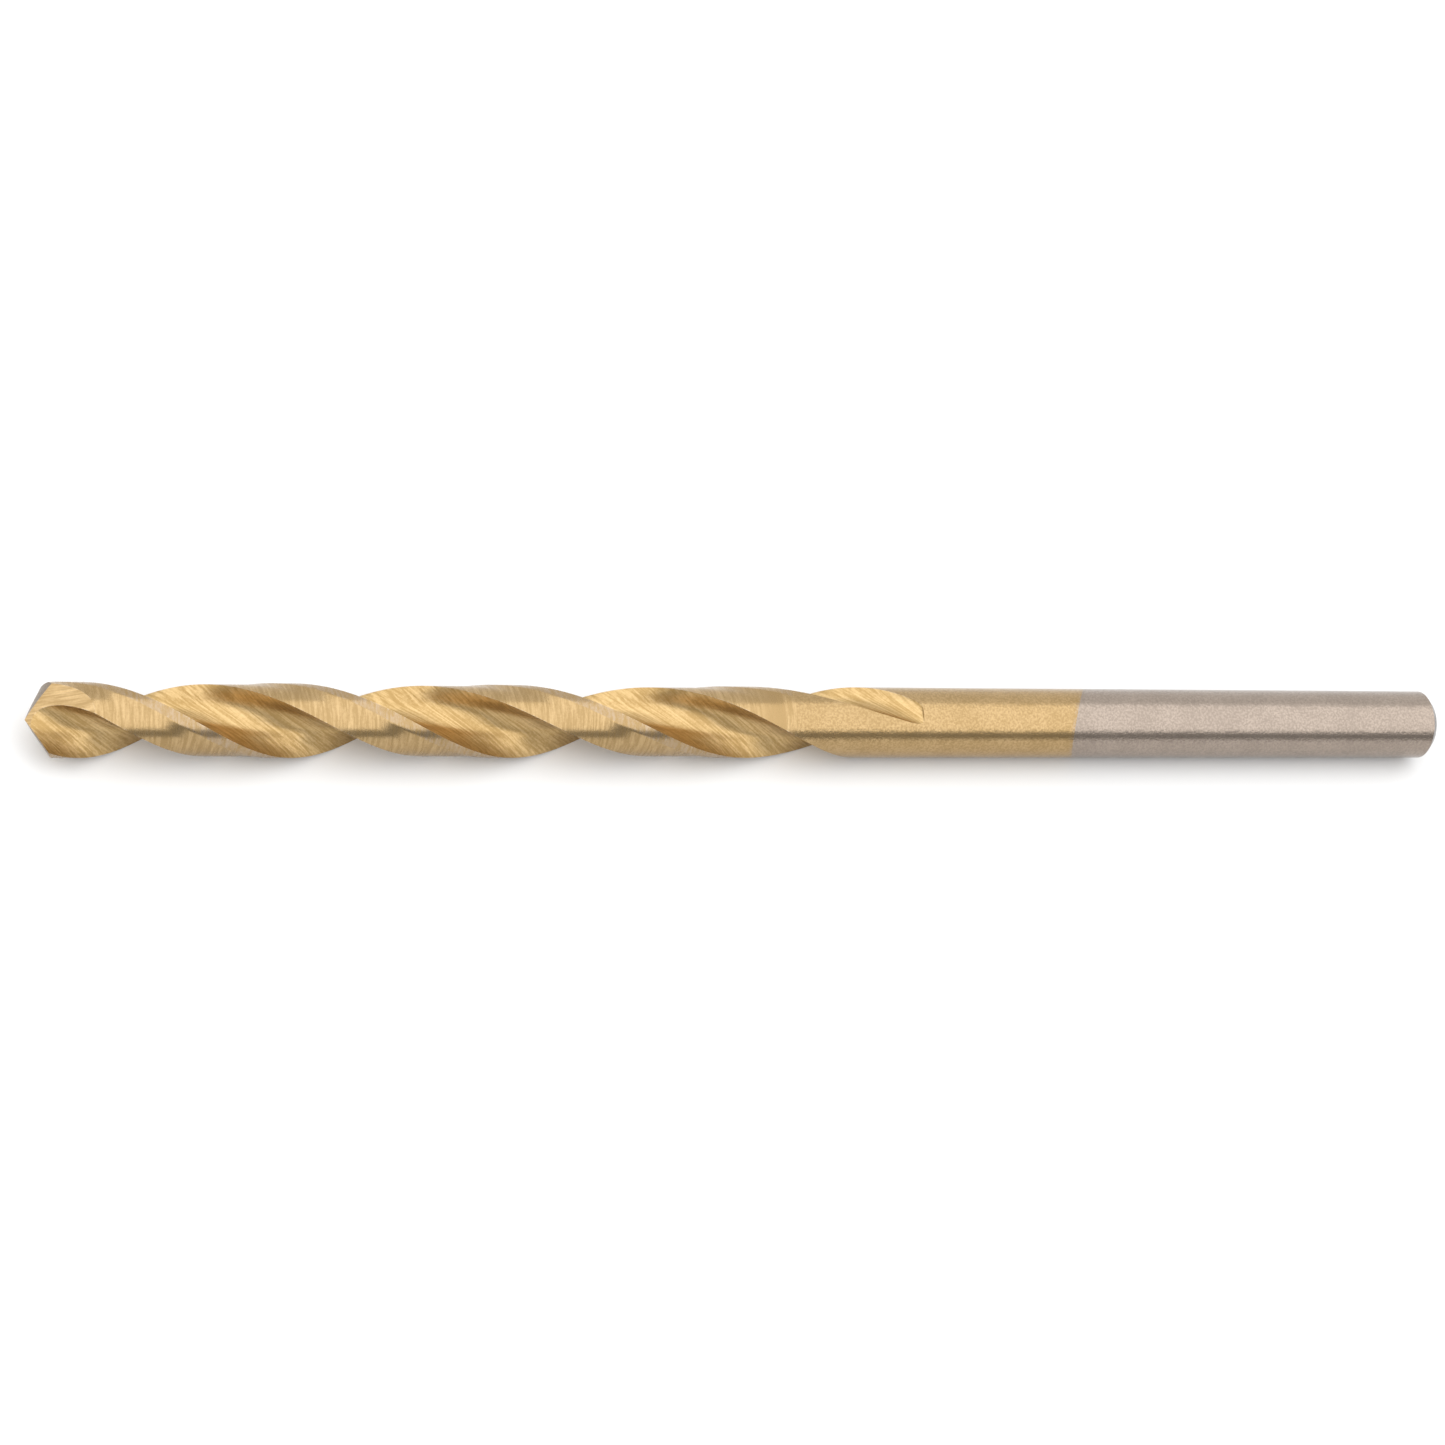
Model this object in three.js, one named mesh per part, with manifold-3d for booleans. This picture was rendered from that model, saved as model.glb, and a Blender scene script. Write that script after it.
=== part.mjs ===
// A right-hand twist drill of jobber length, in high speed steel, with a gold titanium nitride coating
// over its point, its flutes and the start of its plain shank.
//
// Millimetres. The drill lies along X: its point faces -X, and the centre of its flat shank end is the origin.
// "Distance" is measured along the axis from the tip. Angles turn right-handed about +X. The drill cuts while it
// turns the other way, so each land's margin is at its low angle and its heel at its high angle.

import * as THREE from "three";
import { mergeVertices } from "three/addons/utils/BufferGeometryUtils.js";
import Module from "manifold-3d";

const radians = THREE.MathUtils.degToRad;

// Overall sizes
const diameter = 3.45;
const overallLength = 73;
const fluteLength = 43.7;
const radius = diameter / 2;

// The coating ends in a plane that crosses the axis at coatedLength and leans from square
const coatedLength = 52.96;
const coatingTilt = 31; // degrees
const coatingTiltTurn = 144;

// Flutes and lands
const tipTurn = -11.4; // degrees, how the drill lies turned about its axis
const helixAtPoint = 30; // degrees from the axis, easing to the next value where the flutes end
const helixAtRunOut = 21.8;
const landAngle = 73; // degrees around the axis, from margin corner to heel
const marginAngle = 18;
const marginStepAngle = 20; // the margin falls to the land in a hollow curve
const clearanceDepth = 0.042 * radius; // the land stands this much lower behind its margin
const clearanceLength = 36.4; // the margin's step ends here, ahead of the end of the flutes
const clearanceFade = 0.6;
const halfWeb = 0.075 * radius; // the lips pass this far from the axis
const webBottomRadius = 0.1 * radius; // the bottom of a flute is this far from the axis
const rootRadius = 0.52 * radius; // the straight lip's rake face ends here, and the flute's bottom curve begins
const heelReach = 0.4 * radius; // how far each curve of the wall keeps its first direction
const bottomReach = 0.5 * radius;

// Flute run-out: the grinding wheel lifts out along an arc, and its rim leaves a round end
const runOutLength = 13;
const runOutTurn = 17; // degrees between the lift and the middle of the flute
const endDepth = 0.17; // the flute's depth where its round end begins
const endRounding = 0.8; // length of the round end
const leastDepth = 0.01; // the last trace of the flute

// Point
const pointAngle = 122; // degrees
const lipRelief = 14; // degrees
const flankCurveRadius = 1.6 * radius;

// Web-thinning gash behind each flank
const gashTilt = 30.2; // degrees from the axis
const gashTurn = 8; // degrees between the gash and the lip

// Every cutter goes this far past the axis, so that it clears the bar.
const cutterReach = 3 * radius;

// Shank end
const chamfer = 0.095 * diameter;

// Fineness of the mesh
const ringSpacing = 0.55;
const endSteps = 4;
const marginSteps = 2;
const stepSteps = 3;
const landSteps = 7;
const fluteSteps = 14;
const wallSamples = 24;
const flankSamples = 24;
const shankSides = 64;

// The flanks meet in the chisel edge, which stands this far ahead of the inner ends of the lips.
const chiselRise = halfWeb * Math.tan(radians(lipRelief)) + halfWeb ** 2 / (2 * flankCurveRadius);

// How far behind the tip the lip is at radius r.
function lipDistance(r) {
  return Math.sqrt(r * r - halfWeb * halfWeb) / Math.tan(radians(pointAngle / 2)) - chiselRise;
}

const cornerDistance = lipDistance(radius);

// How far the flutes have turned at a distance from the tip, in radians.
function helixTurn(distance) {
  const startRate = Math.tan(radians(helixAtPoint)) / radius;
  const endRate = Math.tan(radians(helixAtRunOut)) / radius;
  const along = Math.min(distance, fluteLength);
  return radians(tipTurn) + startRate * along + ((endRate - startRate) * along * along) / (2 * fluteLength);
}

const lipDirection = helixTurn(cornerDistance) + Math.asin(halfWeb / radius);

const polar = (r, angle) => new THREE.Vector2(r * Math.cos(angle), r * Math.sin(angle));

// The rake face, as a point of the section at radius r. Its curve is the one that a straight lip leaves behind
// as it winds along the helix. Angles are measured from the margin's corner.
function rakePoint(r) {
  const rate = Math.tan(radians(helixAtPoint)) / radius;
  const sweep = Math.asin(halfWeb / radius) - Math.asin(halfWeb / r);
  return polar(r, Math.PI + sweep + rate * (cornerDistance - lipDistance(r)));
}

// One flute's wall in the section, from the heel of one land, round the web, to the margin corner of the next.
function fluteWall() {
  const heelAngle = radians(landAngle);
  const bottomAngle = (heelAngle + Math.PI) / 2;
  const heel = polar(radius, heelAngle);
  const bottom = polar(webBottomRadius, bottomAngle);
  const alongBottom = polar(1, bottomAngle + Math.PI / 2);
  const root = rakePoint(rootRadius);
  const alongRake = rakePoint(rootRadius * 1.05).sub(root).normalize();
  const reach = root.distanceTo(bottom);

  const heelSide = new THREE.CubicBezierCurve(
    heel,
    heel.clone().sub(polar(heelReach, heelAngle)),
    bottom.clone().addScaledVector(alongBottom, -bottomReach),
    bottom,
  );
  const bottomSide = new THREE.CubicBezierCurve(
    bottom,
    bottom.clone().addScaledVector(alongBottom, 0.5 * reach),
    root.clone().addScaledVector(alongRake, -0.4 * reach),
    root,
  );
  const rakeSide = [];
  for (let i = 1; i <= wallSamples; i++) {
    rakeSide.push(rakePoint(THREE.MathUtils.lerp(rootRadius, radius, i / wallSamples)));
  }
  return [...heelSide.getPoints(wallSamples), ...bottomSide.getPoints(wallSamples).slice(1), ...rakeSide];
}

const wall = fluteWall();
const wallMiddleAngle = (radians(landAngle) + Math.PI) / 2;

// How far the grinding wheel has lifted out at a distance, in millimetres.
function wheelLift(distance) {
  const arcLift = radius - webBottomRadius - endDepth;
  const share = THREE.MathUtils.clamp((distance - fluteLength + runOutLength) / runOutLength, 0, 1);
  const endShare = THREE.MathUtils.clamp((distance - fluteLength + endRounding) / endRounding, 0, 1);
  return arcLift * share ** 2 + (endDepth - leastDepth) * (1 - Math.sqrt(1 - endShare ** 2));
}

// How low the land stands behind its margin at a distance.
function clearanceAt(distance) {
  const share = THREE.MathUtils.smoothstep(distance, clearanceLength, clearanceLength + clearanceFade);
  return clearanceDepth * (1 - share);
}

// Where a line from a point outside a circle to a point inside it crosses the circle.
function crossing(outside, inside, circle) {
  const a = outside.length() - circle;
  const b = circle - inside.length();
  return outside.clone().lerp(inside, a / (a + b));
}

// The part of the lifted wall that still cuts into the bar, as evenly spaced points.
function cutWall(distance) {
  const lift = polar(wheelLift(distance), wallMiddleAngle + radians(runOutTurn));
  const heelRadius = radius - clearanceAt(distance);
  const points = wall.map((p) => p.clone().add(lift));
  const first = points.findIndex((p) => p.length() < heelRadius - 1e-6);
  const last = points.findLastIndex((p) => p.length() < radius - 1e-6);
  const start = first > 0 ? crossing(points[first - 1], points[first], heelRadius) : points[0];
  const end = last < points.length - 1 ? crossing(points[last + 1], points[last], radius) : points[last];
  const path = new THREE.CurvePath();
  const kept = [start, ...points.slice(first, last + 1), end];
  for (let i = 1; i < kept.length; i++) path.add(new THREE.LineCurve(kept[i - 1], kept[i]));
  return path.getSpacedPoints(fluteSteps);
}

// One half of the ring of points round the bar: a land, then the flute behind it.
function halfRing(distance) {
  const flute = cutWall(distance);
  const clearance = clearanceAt(distance);
  const corner = flute[fluteSteps].angle() - Math.PI;
  const heel = flute[0].angle();
  const marginEnd = corner + radians(marginAngle);
  const stepEnd = marginEnd + radians(marginStepAngle);
  const points = [];
  for (let i = 0; i < marginSteps; i++) {
    points.push(polar(radius, THREE.MathUtils.lerp(corner, marginEnd, i / marginSteps)));
  }
  for (let i = 0; i < stepSteps; i++) {
    const share = i / stepSteps;
    const r = radius - clearance * (1 - (1 - share) ** 2);
    points.push(polar(r, THREE.MathUtils.lerp(marginEnd, stepEnd, share)));
  }
  for (let i = 0; i < landSteps; i++) {
    points.push(polar(radius - clearance, THREE.MathUtils.lerp(stepEnd, heel, i / landSteps)));
  }
  points.push(...flute.slice(0, fluteSteps));
  return points;
}

// The whole ring at a distance, turned by the helix. Past the flutes every point is out on the bar's surface.
function ring(distance) {
  const half = halfRing(Math.min(distance, fluteLength));
  if (distance > fluteLength) half.forEach((p) => p.setLength(radius));
  const points = [];
  for (const side of [0, Math.PI]) {
    for (const p of half) points.push(p.clone().rotateAround(new THREE.Vector2(), side + helixTurn(distance)));
  }
  return points.map((p) => new THREE.Vector3(distance - overallLength, p.x, p.y));
}

// A closed bar through a list of rings, each with the same number of points.
function barThrough(rings) {
  const count = rings[0].length;
  const points = rings.flat();
  const faces = [];
  for (let i = 1; i < rings.length; i++) {
    for (let j = 0; j < count; j++) {
      const next = (j + 1) % count;
      const [a, b] = [(i - 1) * count + j, (i - 1) * count + next];
      const [c, d] = [i * count + next, i * count + j];
      faces.push(a, b, c, a, c, d);
    }
  }
  const startCentre = points.length;
  const endCentre = startCentre + 1;
  const lastRing = (rings.length - 1) * count;
  points.push(new THREE.Vector3(rings[0][0].x, 0, 0), new THREE.Vector3(rings.at(-1)[0].x, 0, 0));
  for (let j = 0; j < count; j++) {
    const next = (j + 1) % count;
    faces.push(startCentre, next, j, endCentre, lastRing + j, lastRing + next);
  }
  return new THREE.BufferGeometry().setFromPoints(points).setIndex(faces);
}

// The fluted bar before its point is ground. It starts a little ahead of the tip, and ends past the coating.
function flutedBar() {
  const evenLength = fluteLength - endRounding;
  const steps = Math.round(evenLength / ringSpacing);
  const distances = [-ringSpacing];
  for (let i = 0; i < steps; i++) distances.push((evenLength * i) / steps);
  for (let i = 0; i <= endSteps; i++) {
    distances.push(fluteLength - endRounding * (1 - Math.sin(((Math.PI / 2) * i) / endSteps)));
  }
  distances.push(fluteLength + leastDepth, coatedLength + radius);
  return barThrough(distances.map(ring));
}

// What the wheel grinds off to leave one flank. The flank rises behind the lip by the relief angle, and curves.
function flankCutter(side) {
  const reach = cutterReach;
  const outline = [];
  for (let i = 0; i <= flankSamples; i++) {
    const behind = THREE.MathUtils.lerp(-reach, reach, i / flankSamples);
    const curve = Math.max(behind, 0) ** 2 / (2 * flankCurveRadius);
    outline.push(new THREE.Vector2(behind, behind * Math.tan(radians(lipRelief)) + curve));
  }
  outline.push(new THREE.Vector2(reach, -2 * reach), new THREE.Vector2(-reach, -2 * reach));
  const geometry = new THREE.ExtrudeGeometry(new THREE.Shape(outline), { depth: 2 * reach, bevelEnabled: false });
  // Outline x is the distance behind the lip, outline y runs along the drill, and the extrusion follows the lip,
  // which leans back by half the point angle.
  const slope = 1 / Math.tan(radians(pointAngle / 2));
  const place = new THREE.Matrix4().set(
    0, 1, slope, -reach * slope,
    0, 0, 1, -reach,
    1, 0, 0, -halfWeb,
    0, 0, 0, 1,
  );
  geometry.applyMatrix4(place).rotateX(lipDirection + side);
  return geometry.translate(-overallLength - chiselRise, 0, 0);
}

// What the thinning wheel takes off the heel behind one flank, down to the tip.
function gashCutter(side) {
  const size = 2 * cutterReach;
  return new THREE.BoxGeometry(size, size, size)
    .translate(0, 0, size / 2)
    .rotateY(-radians(gashTilt))
    .rotateX(lipDirection + radians(gashTurn) + side)
    .translate(-overallLength, 0, 0);
}

const wasm = await Module();
wasm.setup();

function toSolid(geometry) {
  const bare = geometry.clone();
  bare.deleteAttribute("normal");
  bare.deleteAttribute("uv");
  const merged = mergeVertices(bare, 1e-4);
  const vertProperties = merged.attributes.position.array;
  const triVerts = new Uint32Array(merged.index.array);
  return new wasm.Manifold(new wasm.Mesh({ numProp: 3, vertProperties, triVerts }));
}

function toGeometry(solid) {
  const mesh = solid.getMesh();
  const geometry = new THREE.BufferGeometry();
  geometry.setAttribute("position", new THREE.BufferAttribute(mesh.vertProperties, 3));
  geometry.setIndex(new THREE.BufferAttribute(mesh.triVerts, 1));
  geometry.computeVertexNormals();
  return geometry;
}

// The part of a solid on one side of the coating's edge: 1 for the shank's side, -1 for the point's side.
function besideCoatingEdge(solid, side) {
  const lean = polar(Math.tan(radians(coatingTilt)), radians(coatingTiltTurn));
  const normal = new THREE.Vector3(1, lean.x, lean.y).normalize();
  const offset = (coatedLength - overallLength) * normal.x;
  return solid.trimByPlane(normal.multiplyScalar(side).toArray(), offset * side);
}

function coatedBody() {
  let solid = toSolid(flutedBar());
  for (const side of [0, Math.PI]) {
    solid = solid.subtract(toSolid(flankCutter(side)));
    solid = solid.subtract(toSolid(gashCutter(side)));
  }
  const gold = new THREE.MeshStandardMaterial({ color: 0xb8924e, roughness: 0.38, metalness: 1 });
  return new THREE.Mesh(toGeometry(besideCoatingEdge(solid, -1)), gold);
}

function bareShank() {
  const length = overallLength - coatedLength + radius;
  const profile = [
    new THREE.Vector2(0, -length),
    new THREE.Vector2(radius, -length),
    new THREE.Vector2(radius, -chamfer),
    new THREE.Vector2(radius - chamfer, 0),
    new THREE.Vector2(0, 0),
  ];
  const bar = new THREE.LatheGeometry(profile, shankSides).rotateZ(-Math.PI / 2);
  const steel = new THREE.MeshStandardMaterial({ color: 0x9c938b, roughness: 0.42, metalness: 1 });
  return new THREE.Mesh(toGeometry(besideCoatingEdge(toSolid(bar), 1)), steel);
}

const drill = new THREE.Group();
drill.add(Object.assign(coatedBody(), { name: "coated_body" }));
drill.add(Object.assign(bareShank(), { name: "bare_shank" }));

export default drill;
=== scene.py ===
"""The gold-coated twist drill: a fine mesh of the bar with its flutes, margins, point and run-outs, its
ground-metal materials, and a plain studio. Lengths inside the shape functions are millimetres, measured
from the tip."""

from collections import namedtuple
from math import asin, atan2, cos, pi, radians, sin, sqrt, tan

import bmesh
import bpy
from mathutils import Matrix, Vector
from mathutils.geometry import interpolate_bezier


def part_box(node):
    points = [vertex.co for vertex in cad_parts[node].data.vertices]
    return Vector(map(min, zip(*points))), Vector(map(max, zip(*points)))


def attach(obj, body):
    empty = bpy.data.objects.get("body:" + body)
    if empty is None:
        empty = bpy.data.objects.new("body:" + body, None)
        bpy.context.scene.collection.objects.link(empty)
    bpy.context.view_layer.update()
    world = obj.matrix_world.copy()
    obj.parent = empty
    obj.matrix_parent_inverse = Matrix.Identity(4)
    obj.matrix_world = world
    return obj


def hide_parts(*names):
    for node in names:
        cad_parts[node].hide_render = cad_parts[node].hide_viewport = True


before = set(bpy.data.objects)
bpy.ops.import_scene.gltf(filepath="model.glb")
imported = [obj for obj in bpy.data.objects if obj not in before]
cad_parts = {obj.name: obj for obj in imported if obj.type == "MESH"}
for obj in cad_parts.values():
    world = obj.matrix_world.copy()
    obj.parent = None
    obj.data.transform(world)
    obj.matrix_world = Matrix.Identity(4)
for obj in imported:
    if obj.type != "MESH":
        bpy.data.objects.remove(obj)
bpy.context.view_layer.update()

MM = 0.001

# ---- Sizes, from the frame and the drill's own design ----
LOW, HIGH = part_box("bare_shank")
RADIUS = (HIGH.z - LOW.z) / 2 / MM
LENGTH = 73.0
FLUTE_LENGTH = 43.7
COATED_LENGTH = 52.96  # to the coating's edge, on the axis
COATING_TILT = radians(31)  # of that edge's plane, from square
COATING_TILT_TURN = radians(144)

TIP_TURN = radians(-11.4)
HELIX_AT_POINT = radians(30)
HELIX_AT_RUN_OUT = radians(21.8)
LAND_ANGLE = radians(73)
MARGIN_ANGLE = radians(18)
MARGIN_STEP_ANGLE = radians(20)  # the land falls from the margin to its clearance over this angle
CLEARANCE_DEPTH = 0.042 * RADIUS
CLEARANCE_LENGTH = 36.4
CLEARANCE_FADE = 0.6

HALF_WEB = 0.075 * RADIUS  # the lips pass this far from the axis
WEB_BOTTOM_RADIUS = 0.1 * RADIUS  # the bottom of a flute is this far from the axis
ROOT_RADIUS = 0.52 * RADIUS  # the rake face ends here, and the flute's bottom curve begins
RAKE_PROBE = 1.05  # a second place on the rake face, as a multiple of ROOT_RADIUS, gives its direction
HEEL_REACH = 0.4 * RADIUS
BOTTOM_REACH = 0.5 * RADIUS
BOTTOM_SHARE = 0.5  # the handles of the curve from the bottom to the root, as shares of its span
ROOT_SHARE = 0.4

RUN_OUT_LENGTH = 13.0
RUN_OUT_TURN = radians(17)
END_DEPTH = 0.17  # the flute would end this deep if its end weren't rounded off
END_ROUNDING = 0.8
LEAST_DEPTH = 0.004

HALF_POINT_ANGLE = radians(61)
LIP_RELIEF = radians(14)
FLANK_CURVE_RADIUS = 1.6 * RADIUS
GASH_TILT = radians(30.2)
GASH_TURN = radians(8)
CHAMFER = 0.19 * RADIUS

# ---- Fineness, cutters and tolerances ----
RING_SPACING = 0.12
POINT_BLOCK = 4.8  # the length that is made apart, with its flanks and gashes cut
MARGIN_STEPS = 5
STEP_STEPS = 8
LAND_STEPS = 16
FLUTE_STEPS = 56
END_STEPS = 12
WALL_SAMPLES = 60
FLANK_SAMPLES = 40
SHANK_SIDES = 160
SHARP_ANGLE = radians(24)
FLANK_CUTTER_REACH = 2.2 * RADIUS
GASH_CUTTER_SIZE = 6 * RADIUS
ON_CIRCLE = 1e-6  # millimetres
SEAM_TOLERANCE = 1e-7  # metres
WELD_DISTANCE = 2e-7  # metres

# ---- Colours and finishes ----
GOLD = (0.475, 0.335, 0.172, 1)
GOLD_DULL = (0.335, 0.225, 0.103, 1)
GOLD_BRIGHT = (0.62, 0.445, 0.225, 1)
GOLD_DEEP = (0.38, 0.25, 0.10, 1)
# The flanks' darker brown gold.
GOLD_FLANK_BROWN = (0.26, 0.20, 0.135, 1)
GOLD_FLANK_DARK_BROWN = (0.17, 0.125, 0.085, 1)
GOLD_WORN = (0.41, 0.32, 0.23, 1)
# The lighter colour of sharp edges: partly real wear, partly painted highlight.
GOLD_WORN_AND_HIGHLIT = (0.56, 0.47, 0.37, 1)
STEEL = (0.375, 0.313, 0.261, 1)
STEEL_DULL = (0.27, 0.222, 0.185, 1)
# Painted shade for the shank's chamfer: a dark steel standing in for the dark rim it shows.
STEEL_PAINTED_SHADE = (0.12, 0.105, 0.095, 1)
FLOOR_COLOURS = ((0.71, 0.71, 0.71, 1), (0.73, 0.73, 0.73, 1))

# A finish's stretch is the marks per millimetre along each axis. Colour is the metal's own and dull is what
# shows between the marks. Contrast is how far the share of dull ranges, rough is the mean roughness, and
# lift is the marks' height in millimetres.
Finish = namedtuple("Finish", "stretch colour dull contrast rough lift")
FINISHES = {
    "margin": Finish((8.0, 1.5, 1.5), GOLD_WORN, GOLD_DULL, 0.6, 0.25, 0.004),
    "land": Finish((8.0, 0.8, 0.8), GOLD, GOLD_DULL, 0.9, 0.25, 0.006),
    "flute": Finish((0.5, 9.0, 2.0), GOLD_BRIGHT, GOLD_DEEP, 0.75, 0.38, 0.012),
    "flank": Finish((8.0, 8.0, 8.0), GOLD_FLANK_BROWN, GOLD_FLANK_DARK_BROWN, 0.6, 0.32, 0.003),
    "gash": Finish((0.5, 9.0, 0.5), GOLD, GOLD_DULL, 1.2, 0.30, 0.006),
    "shank": Finish((9.0, 9.0, 9.0), GOLD, GOLD_DULL, 0.5, 0.22, 0.006),
}
STEEL_FINISH = Finish((9.0, 9.0, 9.0), STEEL, STEEL_DULL, 0.5, 0.22, 0.007)
ZONES = list(FINISHES)

MARK_SLOPE = 0.7  # how fast the wheel's marks cross a flute
MARK_RANGE = (0.3, 0.7)
MARK_ROUGHNESS = (-0.04, 0.05)
MEAN_SHARE = 0.7  # of dull in a finish
SPECKLE_STRETCH = (9.0, 9.0, 9.0)
SPECKLE_RANGE = (0.35, 0.7)
SPECKLE_SHARE = (-0.1, 0.15)
SPECKLE_HEIGHT = 0.5
CLOUD_STRETCH = (0.7, 0.7, 0.7)
CLOUD_RANGE = (0.35, 0.65)
CLOUD_SHARE = (-0.1, 0.1)
FLOOR_STRETCH = (0.02, 0.02, 0.02)

# The mask for the sharp edges' lighter colour, partly real wear and partly painted highlight.
EDGE_WEAR_AND_HIGHLIGHT_RADIUS = 0.06
EDGE_WEAR_AND_HIGHLIGHT_RANGE = (0.995, 0.9)
BEVEL_SAMPLES = 6
SHADE_LENGTH = 2.5  # painted shade: the land is darkened over this length before its clearance ends, and the margin's worn colour fades to plain gold
SHADE_FADE = 0.1
COATING_EDGE_STRETCH = (1.5, 3.0, 3.0)
COATING_EDGE_WANDER = 0.3
COATING_EDGE_FADE = (-0.1, 0.15)
# How the chamfer's painted shade fades in from the side and out before the flat end.
CHAMFER_SHADE_FADE = 0.02
CHAMFER_SHADE_END_FADE = (0.01, 0.03)

# ---- Studio, in metres. Directions round the drill are angles from -Y upwards ----
MIDDLE = Vector((-LENGTH / 2 * MM, 0, 0))
SOFTBOX_LOW = radians(25.5)
SOFTBOX_HIGH = radians(120)
SOFTBOX_DISTANCE = 0.35
SOFTBOX_LENGTH = 1.6
BRIGHTNESS = 1.65
WORLD_COLOURS = ((0.42, 0.42, 0.42, 1), (1.24, 1.24, 1.24, 1))
BEHIND_RANGE = (-0.05, 0.05)
BELOW_RANGE = (0.0, -0.01)
SIDEWAYS_RANGE = (0.75, 0.9)
LOW_RANGE = (0.25, 0.15)
FLOOR_HALF_SIZE = 0.25
FLOOR_SEGMENTS = 8
FLOOR_GAP = 0.01  # millimetres

# The camera's place is in radii of the drill, from the tip, and its angles are in radians.
CAMERA_ELEVATION = radians(54)
CAMERA_TURN = 0.380
CAMERA_ROLL = 0.0034
CAMERA_BACK = 99.434
CAMERA_ASIDE = -18.1901
CAMERA_BELOW = 0.0109
SENSOR_WIDTH = 36  # millimetres, as is LENS
LENS = 95.07
CLIP_START = 0.01

START_RATE = tan(HELIX_AT_POINT) / RADIUS
END_RATE = tan(HELIX_AT_RUN_OUT) / RADIUS
CHISEL_RISE = HALF_WEB * tan(LIP_RELIEF) + HALF_WEB**2 / (2 * FLANK_CURVE_RADIUS)
WALL_MIDDLE = (LAND_ANGLE + pi) / 2
HALF_COUNT = MARGIN_STEPS + STEP_STEPS + LAND_STEPS + FLUTE_STEPS
COUNT = 2 * HALF_COUNT


# ---- The section and its helix ----
def polar(r, angle):
    return Vector((r * cos(angle), r * sin(angle)))


def lip_distance(r):
    return sqrt(r * r - HALF_WEB**2) / tan(HALF_POINT_ANGLE) - CHISEL_RISE


def helix_turn(distance):
    along = min(distance, FLUTE_LENGTH)
    return TIP_TURN + START_RATE * along + (END_RATE - START_RATE) * along**2 / (2 * FLUTE_LENGTH)


CORNER_DISTANCE = lip_distance(RADIUS)
LIP_DIRECTION = helix_turn(CORNER_DISTANCE) + asin(HALF_WEB / RADIUS)


def rake_point(r):
    """The rake face at radius r: the curve that a straight lip leaves behind as it winds along the helix."""
    sweep = asin(HALF_WEB / RADIUS) - asin(HALF_WEB / r)
    return polar(r, pi + sweep + START_RATE * (CORNER_DISTANCE - lip_distance(r)))


def bezier(*points):
    curve = interpolate_bezier(*[p.to_3d() for p in points], WALL_SAMPLES + 1)
    return [p.to_2d() for p in curve]


def flute_wall():
    """One flute's wall, from the heel of one land, round the web, to the margin corner of the next."""
    heel = polar(RADIUS, LAND_ANGLE)
    bottom = polar(WEB_BOTTOM_RADIUS, WALL_MIDDLE)
    along_bottom = polar(1, WALL_MIDDLE + pi / 2)
    root = rake_point(ROOT_RADIUS)
    along_rake = (rake_point(ROOT_RADIUS * RAKE_PROBE) - root).normalized()
    span = (root - bottom).length
    before_bottom = bottom - along_bottom * BOTTOM_REACH
    after_bottom = bottom + along_bottom * BOTTOM_SHARE * span
    heel_side = bezier(heel, heel - polar(HEEL_REACH, LAND_ANGLE), before_bottom, bottom)
    bottom_side = bezier(bottom, after_bottom, root - along_rake * ROOT_SHARE * span, root)
    rake_side = []
    for i in range(1, WALL_SAMPLES + 1):
        rake_side.append(rake_point(ROOT_RADIUS + (RADIUS - ROOT_RADIUS) * i / WALL_SAMPLES))
    return heel_side + bottom_side[1:] + rake_side


WALL = flute_wall()


def wheel_lift(distance):
    """How far the grinding wheel has lifted out of the flute."""
    share = min(max((distance - FLUTE_LENGTH + RUN_OUT_LENGTH) / RUN_OUT_LENGTH, 0), 1)
    end_share = min(max((distance - FLUTE_LENGTH + END_ROUNDING) / END_ROUNDING, 0), 1)
    rounding = (END_DEPTH - LEAST_DEPTH) * (1 - sqrt(1 - end_share**2))
    return (RADIUS - WEB_BOTTOM_RADIUS - END_DEPTH) * share**2 + rounding


def clearance_at(distance):
    share = min(max((distance - CLEARANCE_LENGTH) / CLEARANCE_FADE, 0), 1)
    return CLEARANCE_DEPTH * (1 - share * share * (3 - 2 * share))


def crossing(outside, inside, circle):
    """The place between the two points that is about on the circle."""
    a = outside.length - circle
    b = circle - inside.length
    return outside.lerp(inside, a / (a + b))


def evenly(points, count):
    """The polyline through points as count + 1 points at equal distances."""
    ends = [0.0]
    for a, b in zip(points, points[1:]):
        ends.append(ends[-1] + (b - a).length)
    result = []
    k = 0
    for i in range(count + 1):
        want = ends[-1] * i / count
        while k < len(ends) - 2 and ends[k + 1] < want:
            k += 1
        span = ends[k + 1] - ends[k]
        result.append(points[k].lerp(points[k + 1], (want - ends[k]) / span if span else 0))
    return result


def cut_wall(distance):
    """The part of the lifted wall that still cuts into the bar."""
    lift = polar(wheel_lift(distance), WALL_MIDDLE + RUN_OUT_TURN)
    heel_radius = RADIUS - clearance_at(distance)
    points = [p + lift for p in WALL]
    first = next(i for i, p in enumerate(points) if p.length < heel_radius - ON_CIRCLE)
    last = max(i for i, p in enumerate(points) if p.length < RADIUS - ON_CIRCLE)
    start = crossing(points[first - 1], points[first], heel_radius) if first else points[0]
    end = crossing(points[last + 1], points[last], RADIUS) if last < len(points) - 1 else points[last]
    return evenly([start, *points[first : last + 1], end], FLUTE_STEPS)


def angle_of(p):
    return atan2(p.y, p.x) % (2 * pi)


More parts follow.
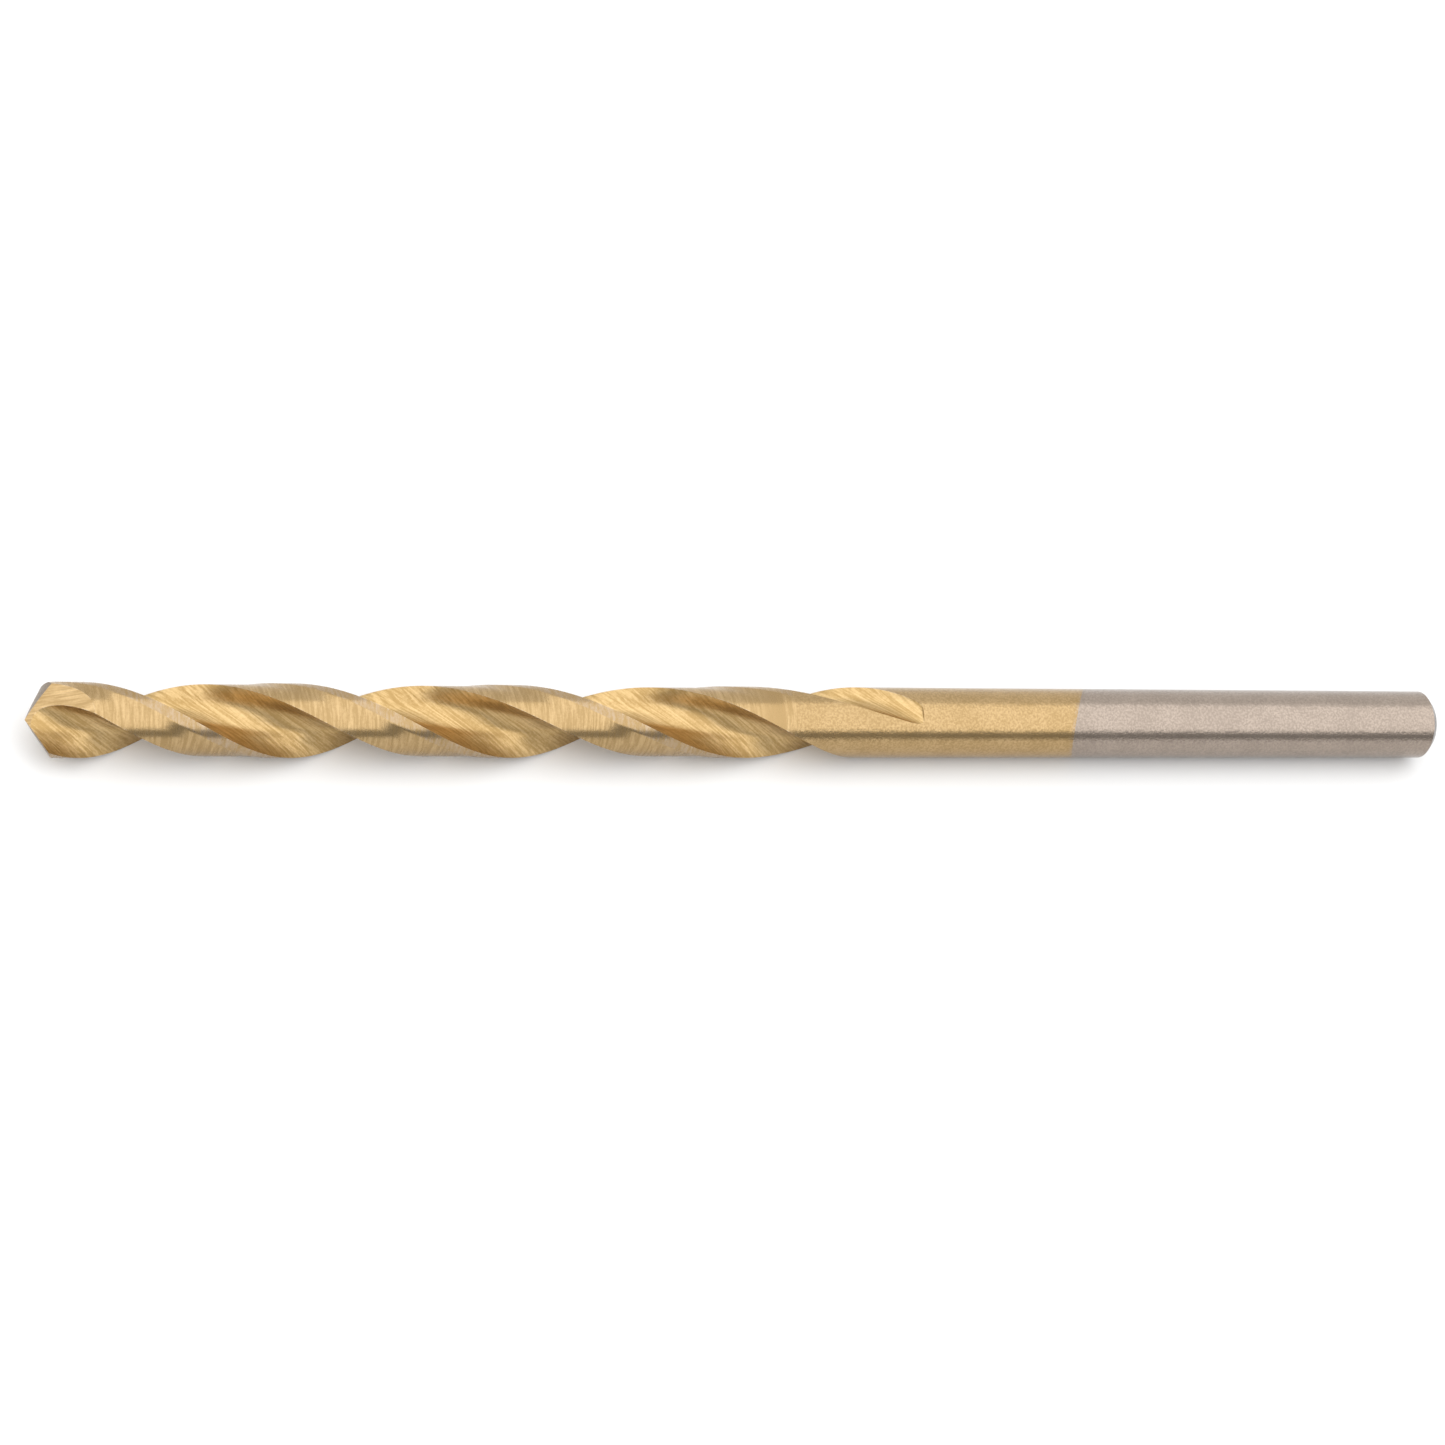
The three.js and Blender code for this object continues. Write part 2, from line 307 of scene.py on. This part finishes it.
def half_ring(distance):
    """A land and then the flute behind it."""
    flute = cut_wall(distance)
    low = RADIUS - clearance_at(distance)
    corner = angle_of(flute[-1]) - pi
    heel = angle_of(flute[0])
    margin_end = corner + MARGIN_ANGLE
    step_end = margin_end + MARGIN_STEP_ANGLE
    points = []
    for i in range(MARGIN_STEPS):
        points.append(polar(RADIUS, corner + (margin_end - corner) * i / MARGIN_STEPS))
    for i in range(STEP_STEPS):
        share = i / STEP_STEPS
        r = low + (RADIUS - low) * (1 - share) ** 2
        points.append(polar(r, margin_end + MARGIN_STEP_ANGLE * share))
    for i in range(LAND_STEPS):
        points.append(polar(low, step_end + (heel - step_end) * i / LAND_STEPS))
    return points + flute[:-1]


def zone_of(j):
    """The zone of the face between ring points j and j + 1."""
    k = j % HALF_COUNT
    if k < MARGIN_STEPS:
        return "margin"
    return "land" if k < MARGIN_STEPS + STEP_STEPS + LAND_STEPS else "flute"


def fluted_ring(distance):
    half = half_ring(distance)
    points = []
    for side in (0, pi):
        turn = Matrix.Rotation(helix_turn(distance) + side, 2)
        for p in half:
            points.append((distance - LENGTH, *(turn @ p)))
    return points


def onto_bar(points, distance_at):
    """Points moved out to the bar's full radius, each at the distance that distance_at gives for its
    place."""
    result = []
    for _, y, z in points:
        across = Vector((y, z)).normalized() * RADIUS
        result.append((distance_at(across) - LENGTH, across.x, across.y))
    return result


def coating_edge(across):
    """Where the coating ends at a place on the bar: its edge is a tilted plane."""
    return COATED_LENGTH - tan(COATING_TILT) * across.dot(polar(1, COATING_TILT_TURN))


# ---- Meshes ----
def add_ring(bm, points):
    return [bm.verts.new(Vector(p) * MM) for p in points]


def join_rings(bm, a, b, zone_at):
    count = len(a)
    for j in range(count):
        k = (j + 1) % count
        face = bm.faces.new((a[j], a[k], b[k], b[j]))
        face.material_index = ZONES.index(zone_at(j))


def tube(rings, zone_at, start_cap, end_cap):
    bm = bmesh.new()
    made = [add_ring(bm, points) for points in rings]
    for a, b in zip(made, made[1:]):
        join_rings(bm, a, b, zone_at)
    if start_cap:
        bm.faces.new(reversed(made[0]))
    if end_cap:
        bm.faces.new(made[-1])
    return bm


def to_object(bm, name):
    mesh = bpy.data.meshes.new(name)
    bmesh.ops.recalc_face_normals(bm, faces=bm.faces)
    bm.to_mesh(mesh)
    bm.free()
    obj = bpy.data.objects.new(name, mesh)
    bpy.context.scene.collection.objects.link(obj)
    return obj


def flank_cutter(side):
    """What is ground off ahead of one flank. The flank rises behind the lip by the relief angle, and
    curves."""
    reach = FLANK_CUTTER_REACH
    outline = []
    for i in range(FLANK_SAMPLES + 1):
        behind = reach * (2 * i / FLANK_SAMPLES - 1)
        rise = behind * tan(LIP_RELIEF) + max(behind, 0) ** 2 / (2 * FLANK_CURVE_RADIUS)
        outline.append((behind, rise))
    outline += [(reach, -2 * reach), (-reach, -2 * reach)]
    bm = bmesh.new()
    ends = []
    for along in (-reach, reach):
        lean = along / tan(HALF_POINT_ANGLE)
        points = [(rise + lean, along, behind - HALF_WEB) for behind, rise in outline]
        ends.append(add_ring(bm, points))
    join_rings(bm, ends[0], ends[1], lambda j: "flank")
    bm.faces.new(reversed(ends[0]))
    bm.faces.new(ends[1])
    turn = Matrix.Rotation(LIP_DIRECTION + side, 4, "X")
    move = Matrix.Translation(((-LENGTH - CHISEL_RISE) * MM, 0, 0))
    bm.transform(move @ turn)
    return to_object(bm, "flank_cutter")


def gash_cutter(side):
    """What the thinning wheel takes off the heel behind one flank, down to the web."""
    size = GASH_CUTTER_SIZE * MM
    bm = bmesh.new()
    bmesh.ops.create_cube(bm, size=size)
    for face in bm.faces:
        face.material_index = ZONES.index("gash")
    turn = Matrix.Rotation(LIP_DIRECTION + GASH_TURN + side, 4, "X")
    tilt = Matrix.Rotation(-GASH_TILT, 4, "Y")
    move = Matrix.Translation((-LENGTH * MM, 0, 0))
    bm.transform(move @ turn @ tilt @ Matrix.Translation((0, 0, size / 2)))
    return to_object(bm, "gash_cutter")


def ground_point():
    """The first few millimetres of the bar, with the flanks and gashes ground, as a mesh open at its far
    end."""
    steps = round(POINT_BLOCK / RING_SPACING)
    distances = [-RING_SPACING] + [POINT_BLOCK * i / steps for i in range(steps + 1)]
    block = to_object(tube([fluted_ring(d) for d in distances], zone_of, True, True), "point_block")
    cutters = []
    for side in (0, pi):
        cutters += [flank_cutter(side), gash_cutter(side)]
    for cutter in cutters:
        cut = block.modifiers.new("ground", "BOOLEAN")
        cut.operation = "DIFFERENCE"
        cut.solver = "EXACT"
        cut.object = cutter
    evaluated = block.evaluated_get(bpy.context.evaluated_depsgraph_get())
    mesh = bpy.data.meshes.new_from_object(evaluated)
    for obj in [block, *cutters]:
        bpy.data.objects.remove(obj)
    bm = bmesh.new()
    bm.from_mesh(mesh)
    bpy.data.meshes.remove(mesh)
    seam = (POINT_BLOCK - LENGTH) * MM
    caps = [f for f in bm.faces if all(abs(v.co.x - seam) < SEAM_TOLERANCE for v in f.verts)]
    bmesh.ops.delete(bm, geom=caps, context="FACES_ONLY")
    return bm


def fluted_rings():
    """The rings from the point block to the flutes' end, closer together where that end is rounded off."""
    even_length = FLUTE_LENGTH - END_ROUNDING - POINT_BLOCK
    steps = round(even_length / RING_SPACING)
    rings = []
    for i in range(steps):
        rings.append(fluted_ring(POINT_BLOCK + even_length * i / steps))
    for i in range(END_STEPS + 1):
        rings.append(fluted_ring(FLUTE_LENGTH - END_ROUNDING * (1 - sin(pi / 2 * i / END_STEPS))))
    return rings


def coated_body():
    rings = fluted_rings()
    rings.append(onto_bar(rings[-1], lambda across: FLUTE_LENGTH + LEAST_DEPTH))
    body = tube(rings, zone_of, False, False)
    for face in body.faces:
        past = face.calc_center_median().x / MM + LENGTH > CLEARANCE_LENGTH + CLEARANCE_FADE
        if past and face.material_index != ZONES.index("flute"):
            face.material_index = ZONES.index("shank")
    last = list(body.verts)[-COUNT:]
    edge = add_ring(body, onto_bar(rings[-1], coating_edge))
    join_rings(body, last, edge, lambda j: "shank")
    body.faces.new(edge)
    point_mesh = bpy.data.meshes.new("point")
    point = ground_point()
    point.to_mesh(point_mesh)
    point.free()
    body.from_mesh(point_mesh)
    bpy.data.meshes.remove(point_mesh)
    bmesh.ops.remove_doubles(body, verts=body.verts, dist=WELD_DISTANCE)
    return to_object(body, "coated_drill")


def bare_shank():
    circle = [(0, *polar(RADIUS, 2 * pi * j / SHANK_SIDES)) for j in range(SHANK_SIDES)]
    rings = [onto_bar(circle, coating_edge)]
    profile = [(LENGTH - CHAMFER, RADIUS), (LENGTH, RADIUS - CHAMFER)]
    for distance, r in profile:
        rings.append([(distance - LENGTH, y * r / RADIUS, z * r / RADIUS) for _, y, z in circle])
    return to_object(tube(rings, lambda j: "shank", True, True), "plain_shank")


# ---- Materials ----
def node(tree, kind, inputs=None, **settings):
    made = tree.nodes.new(kind)
    for key, value in settings.items():
        setattr(made, key, value)
    for key, value in (inputs or {}).items():
        if isinstance(value, bpy.types.NodeSocket):
            tree.links.new(value, made.inputs[key])
        else:
            made.inputs[key].default_value = value
    return made


def maths(tree, operation, a, b=0.0, c=0.0):
    return node(tree, "ShaderNodeMath", {0: a, 1: b, 2: c}, operation=operation).outputs[0]


def vector_maths(tree, operation, a, b):
    return node(tree, "ShaderNodeVectorMath", {0: a, 1: b}, operation=operation).outputs[0]


def dot_product(tree, a, b):
    return node(tree, "ShaderNodeVectorMath", {0: a, 1: b}, operation="DOT_PRODUCT").outputs["Value"]


def split(tree, vector):
    return node(tree, "ShaderNodeSeparateXYZ", {0: vector}).outputs


def turned(tree, spot, angle):
    """The point turned about the drill's axis."""
    settings = {"Vector": spot, "Angle": angle}
    return node(tree, "ShaderNodeVectorRotate", settings, rotation_type="X_AXIS").outputs[0]


def place(tree):
    """The point on the drill in millimetres from the tip, as a vector."""
    spot = node(tree, "ShaderNodeTexCoord").outputs["Object"]
    shifted = vector_maths(tree, "ADD", spot, (LENGTH * MM, 0, 0))
    return node(tree, "ShaderNodeVectorMath", {0: shifted, "Scale": 1 / MM}, operation="SCALE").outputs[0]


def untwisted(tree, spot):
    """The point as if the flutes ran straight along X, with their middles on Y."""
    along = maths(tree, "MINIMUM", split(tree, spot)[0], FLUTE_LENGTH)
    bend = (END_RATE - START_RATE) / (2 * FLUTE_LENGTH)
    turn = maths(tree, "MULTIPLY", along, maths(tree, "MULTIPLY_ADD", along, bend, START_RATE))
    return turned(tree, spot, maths(tree, "MULTIPLY_ADD", turn, -1.0, -TIP_TURN - WALL_MIDDLE))


def along_wheel_marks(tree, spot):
    """Coordinates that run along, across and into a flute's grinding marks. The marks cross the flute
    slowly, because the wheel stands at the helix angle of the bar's surface and the flute's bottom has a
    smaller one."""
    parts = split(tree, untwisted(tree, spot))
    side = maths(tree, "SIGN", parts[1])
    across = maths(tree, "MULTIPLY_ADD", parts[0], -MARK_SLOPE, maths(tree, "MULTIPLY", parts[2], side))
    return node(tree, "ShaderNodeCombineXYZ", {0: parts[0], 1: across, 2: parts[1]}).outputs[0]


def grain(tree, spot, stretch, detail=2.0, roughness=0.5):
    """Noise from 0 to 1 with features of 1 / stretch millimetres along each axis."""
    scaled = vector_maths(tree, "MULTIPLY", spot, stretch)
    settings = {"Vector": scaled, "Scale": 1.0, "Detail": detail, "Roughness": roughness}
    return node(tree, "ShaderNodeTexNoise", settings).outputs[0]


def ranged(tree, value, low, high, to_low=0.0, to_high=1.0):
    """Value's range from low to high, moved smoothly to the one from to_low to to_high."""
    settings = {0: value, 1: low, 2: high, 3: to_low, 4: to_high}
    return node(tree, "ShaderNodeMapRange", settings, interpolation_type="SMOOTHSTEP").outputs[0]


def blended(tree, share, a, b):
    settings = {0: share, 6: a, 7: b}
    return node(tree, "ShaderNodeMix", settings, data_type="RGBA").outputs[2]


def finished(name, build):
    material = bpy.data.materials.new(name)
    material.use_nodes = True
    tree = material.node_tree
    tree.nodes.clear()
    output = node(tree, "ShaderNodeOutputMaterial")
    shader = build(tree)
    tree.links.new(shader, output.inputs["Surface"])
    return material


def edge_wear_and_highlight(tree):
    """1 on sharp edges, which are lighter: partly real wear from handling and grinding, partly a painted
    highlight where the edges' rounding would catch the light.
    """
    rounded = node(tree, "ShaderNodeBevel", {"Radius": EDGE_WEAR_AND_HIGHLIGHT_RADIUS * MM}, samples=BEVEL_SAMPLES).outputs[0]
    flat = node(tree, "ShaderNodeNewGeometry").outputs["Normal"]
    return ranged(tree, dot_product(tree, rounded, flat), *EDGE_WEAR_AND_HIGHLIGHT_RANGE)


def clearance_end_shade_and_wear_fade(tree, spot):
    """1 just before the clearance ends. On the land it is painted shade, darkening it; on the margin it
    fades the worn colour into plain gold.
    """
    along = split(tree, spot)[0]
    before = ranged(tree, along, CLEARANCE_LENGTH - SHADE_LENGTH, CLEARANCE_LENGTH)
    after = ranged(tree, along, CLEARANCE_LENGTH + SHADE_FADE, CLEARANCE_LENGTH)
    return maths(tree, "MULTIPLY", before, after)


def coating_end(tree, spot):
    """0 on the coating and 1 past its uneven edge."""
    tilt = tan(COATING_TILT) * polar(1, COATING_TILT_TURN)
    past = dot_product(tree, spot, (1.0, tilt.x, tilt.y))
    uneven = grain(tree, spot, COATING_EDGE_STRETCH, 2.0, 0.6)
    past = maths(tree, "MULTIPLY_ADD", uneven, COATING_EDGE_WANDER, past)
    before, after = COATING_EDGE_FADE
    return ranged(tree, past, COATED_LENGTH + before, COATED_LENGTH + after)


def chamfer_painted_shade(tree, spot):
    """1 on the shank's chamfer and 0 on its side and its flat end. The chamfer gets painted shade: its steel
    is darkened to stand in for the dark rim it shows.
    """
    along = split(tree, spot)[0]
    chamfer_start = LENGTH - CHAMFER
    past_side = ranged(tree, along, chamfer_start - CHAMFER_SHADE_FADE, chamfer_start + CHAMFER_SHADE_FADE)
    nearest, furthest = CHAMFER_SHADE_END_FADE
    before_end = ranged(tree, along, LENGTH - nearest, LENGTH - furthest)
    return maths(tree, "MULTIPLY", past_side, before_end)


def ground_metal(tree, spot, marks, finish, colour, dull):
    """Metal with a grain: marks and a finer speckle in its colour, roughness and height."""
    broad = grain(tree, marks, finish.stretch, 3.0, 0.6)
    fine = grain(tree, spot, SPECKLE_STRETCH, 2.0, 0.6)
    cloud = grain(tree, spot, CLOUD_STRETCH, 1.0, 0.5)
    half_contrast = finish.contrast / 2
    share = ranged(tree, broad, *MARK_RANGE, MEAN_SHARE - half_contrast, MEAN_SHARE + half_contrast)
    share = maths(tree, "ADD", share, ranged(tree, fine, *SPECKLE_RANGE, *SPECKLE_SHARE))
    share = maths(tree, "ADD", share, ranged(tree, cloud, *CLOUD_RANGE, *CLOUD_SHARE))
    height = maths(tree, "MULTIPLY_ADD", fine, SPECKLE_HEIGHT, broad)
    bump = node(tree, "ShaderNodeBump", {"Strength": 1.0, "Distance": finish.lift * MM, "Height": height})
    settings = {
        "Base Color": blended(tree, share, colour, dull),
        "Metallic": 1.0,
        "Roughness": maths(tree, "ADD", ranged(tree, broad, *MARK_RANGE, *MARK_ROUGHNESS), finish.rough),
        "Normal": bump.outputs[0],
    }
    return node(tree, "ShaderNodeBsdfPrincipled", settings).outputs[0]


def marks_of(tree, spot, zone):
    """The coordinates that a zone's grinding marks follow."""
    if zone == "flute":
        return along_wheel_marks(tree, spot)
    if zone == "gash":
        return turned(tree, spot, -(LIP_DIRECTION + GASH_TURN))
    return spot


def colour_of(tree, spot, zone):
    """A zone's own colour, with its lighter sharp edges (partly real wear, partly painted highlight), with
    the painted shade on the land and the margin's fade where the clearance ends, and with what happens where
    the coating ends."""
    own = FINISHES[zone].colour
    if zone == "shank":
        return blended(tree, coating_end(tree, spot), own, STEEL)
    # Sharp edges are lighter here: partly real wear, partly painted highlight.
    with_worn_highlit_edges = blended(tree, edge_wear_and_highlight(tree), own, GOLD_WORN_AND_HIGHLIT)
    if zone == "land":
        # Painted shade darkens the land just before its clearance ends.
        return blended(tree, clearance_end_shade_and_wear_fade(tree, spot), with_worn_highlit_edges, GOLD_DULL)
    if zone == "margin":
        # The margin's worn colour fades into plain gold just before the clearance ends.
        return blended(tree, clearance_end_shade_and_wear_fade(tree, spot), with_worn_highlit_edges, GOLD)
    return with_worn_highlit_edges


def zone_material(zone):
    def build(tree):
        spot = place(tree)
        finish = FINISHES[zone]
        marks = marks_of(tree, spot, zone)
        return ground_metal(tree, spot, marks, finish, colour_of(tree, spot, zone), finish.dull)

    return finished("gold_" + zone, build)


def steel_material():
    def build(tree):
        spot = place(tree)
        chamfer = chamfer_painted_shade(tree, spot)
        # The chamfer's colours are darkened by painted shade.
        colour = blended(tree, chamfer, STEEL_FINISH.colour, STEEL_PAINTED_SHADE)
        dull = blended(tree, chamfer, STEEL_FINISH.dull, STEEL_PAINTED_SHADE)
        return ground_metal(tree, spot, spot, STEEL_FINISH, colour, dull)

    return finished("bare_steel", build)


def floor_material():
    def build(tree):
        cloud = grain(tree, place(tree), FLOOR_STRETCH)
        colour = blended(tree, cloud, *FLOOR_COLOURS)
        return node(tree, "ShaderNodeBsdfDiffuse", {"Color": colour}).outputs[0]

    return finished("floor", build)


# ---- Studio ----
def studio_direction(angle):
    return Vector((0, -cos(angle), sin(angle)))


def add_softbox():
    light = bpy.data.lights.new("softbox", "AREA")
    light.shape = "RECTANGLE"
    light.size = SOFTBOX_LENGTH
    light.size_y = 2 * SOFTBOX_DISTANCE * tan((SOFTBOX_HIGH - SOFTBOX_LOW) / 2)
    light.energy = BRIGHTNESS * pi * light.size * light.size_y
    obj = bpy.data.objects.new("softbox", light)
    out = studio_direction((SOFTBOX_LOW + SOFTBOX_HIGH) / 2)
    obj.location = out * SOFTBOX_DISTANCE + MIDDLE
    obj.rotation_euler = out.to_track_quat("Z", "Y").to_euler()
    bpy.context.scene.collection.objects.link(obj)


def add_world():
    """Grey in front and above, where the softbox adds its own light, and white behind, below and at low
    ends."""
    world = bpy.data.worlds.new("studio")
    bpy.context.scene.world = world
    world.use_nodes = True
    tree = world.node_tree
    tree.nodes.clear()
    direction = node(tree, "ShaderNodeTexCoord").outputs["Generated"]
    parts = split(tree, direction)
    back = tuple(studio_direction(SOFTBOX_HIGH + pi / 2))
    behind = ranged(tree, dot_product(tree, direction, back), *BEHIND_RANGE)
    below = ranged(tree, parts[2], *BELOW_RANGE)
    sideways = ranged(tree, maths(tree, "ABSOLUTE", parts[0]), *SIDEWAYS_RANGE)
    ends = maths(tree, "MULTIPLY", sideways, ranged(tree, parts[2], *LOW_RANGE))
    bright = maths(tree, "MAXIMUM", behind, maths(tree, "MAXIMUM", below, ends))
    colour = blended(tree, bright, *WORLD_COLOURS)
    background = node(tree, "ShaderNodeBackground", {"Color": colour, "Strength": 1.0})
    output = node(tree, "ShaderNodeOutputWorld")
    tree.links.new(background.outputs[0], output.inputs["Surface"])


def add_floor():
    bm = bmesh.new()
    bmesh.ops.create_grid(bm, x_segments=FLOOR_SEGMENTS, y_segments=FLOOR_SEGMENTS, size=FLOOR_HALF_SIZE)
    bm.transform(Matrix.Translation((MIDDLE.x, 0, -(RADIUS + FLOOR_GAP) * MM)))
    floor = to_object(bm, "floor")
    floor.data.materials.append(floor_material())


def add_camera():
    """At the photograph's angle: turned towards the shank, above the drill, and a little off level."""
    out = Vector((0, cos(CAMERA_ELEVATION), -sin(CAMERA_ELEVATION)))
    up = Vector((0, sin(CAMERA_ELEVATION), cos(CAMERA_ELEVATION)))
    along = Vector((1, 0, 0))
    ahead = sin(CAMERA_TURN) * along + cos(CAMERA_TURN) * out
    right = cos(CAMERA_TURN) * along - sin(CAMERA_TURN) * out
    from_tip = (-CAMERA_BACK * ahead - CAMERA_ASIDE * right - CAMERA_BELOW * up) * RADIUS * MM
    position = from_tip + Vector((-LENGTH * MM, 0, 0))
    rolled_right = cos(CAMERA_ROLL) * right + sin(CAMERA_ROLL) * up
    rolled_up = cos(CAMERA_ROLL) * up - sin(CAMERA_ROLL) * right
    camera = bpy.data.cameras.new("camera")
    camera.sensor_width = SENSOR_WIDTH
    camera.lens = LENS
    camera.clip_start = CLIP_START
    obj = bpy.data.objects.new("camera", camera)
    columns = Matrix((rolled_right, rolled_up, -ahead)).transposed().to_4x4()
    obj.matrix_world = Matrix.Translation(position) @ columns
    bpy.context.scene.collection.objects.link(obj)
    bpy.context.scene.camera = obj


def dress(obj, materials, stands_for):
    for material in materials:
        obj.data.materials.append(material)
    obj.data.shade_smooth()
    obj.data.set_sharp_from_angle(angle=SHARP_ANGLE)
    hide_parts(stands_for)
    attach(obj, "root")


dress(coated_body(), [zone_material(zone) for zone in ZONES], "coated_body")
dress(bare_shank(), [steel_material()], "bare_shank")
add_softbox()
add_world()
add_floor()
add_camera()
bpy.context.scene.view_settings.view_transform = "Standard"
